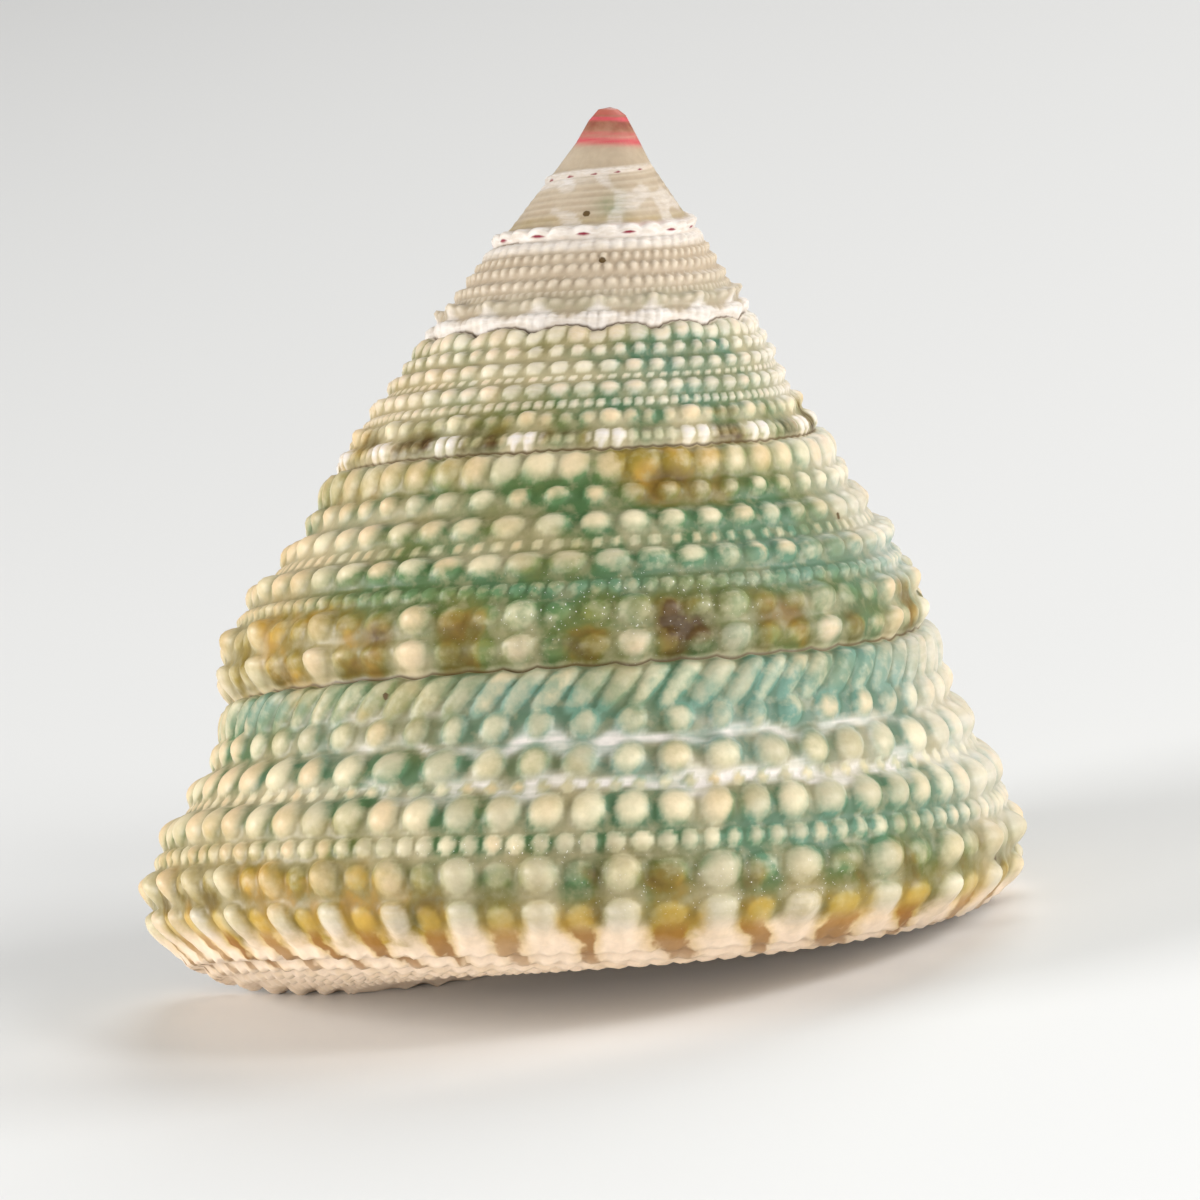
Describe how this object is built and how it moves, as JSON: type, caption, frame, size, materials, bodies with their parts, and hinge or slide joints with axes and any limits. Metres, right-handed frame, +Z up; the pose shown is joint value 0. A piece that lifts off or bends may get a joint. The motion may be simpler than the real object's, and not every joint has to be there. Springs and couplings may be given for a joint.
{
  "type": "top shell",
  "caption": "Tall conical sea shell coiled to the right, with beaded spiral cords, a rounded flat base and an open aperture.",
  "frame": {"origin": "centre of the bounding box on the surface that the shell rests on", "axes": "+Z up, the shell resting on its base with its tip up and leaning back; -Y towards the side that the picture shows; the aperture opens towards +Y at the -X side"},
  "size_m": [0.044, 0.043, 0.0413],
  "materials": {
    "shell": "cream and green mottled shell, worn smooth and slightly glossy"
  },
  "bodies": {
    "root": {"shell": "shell"}
  },
  "joints": []
}
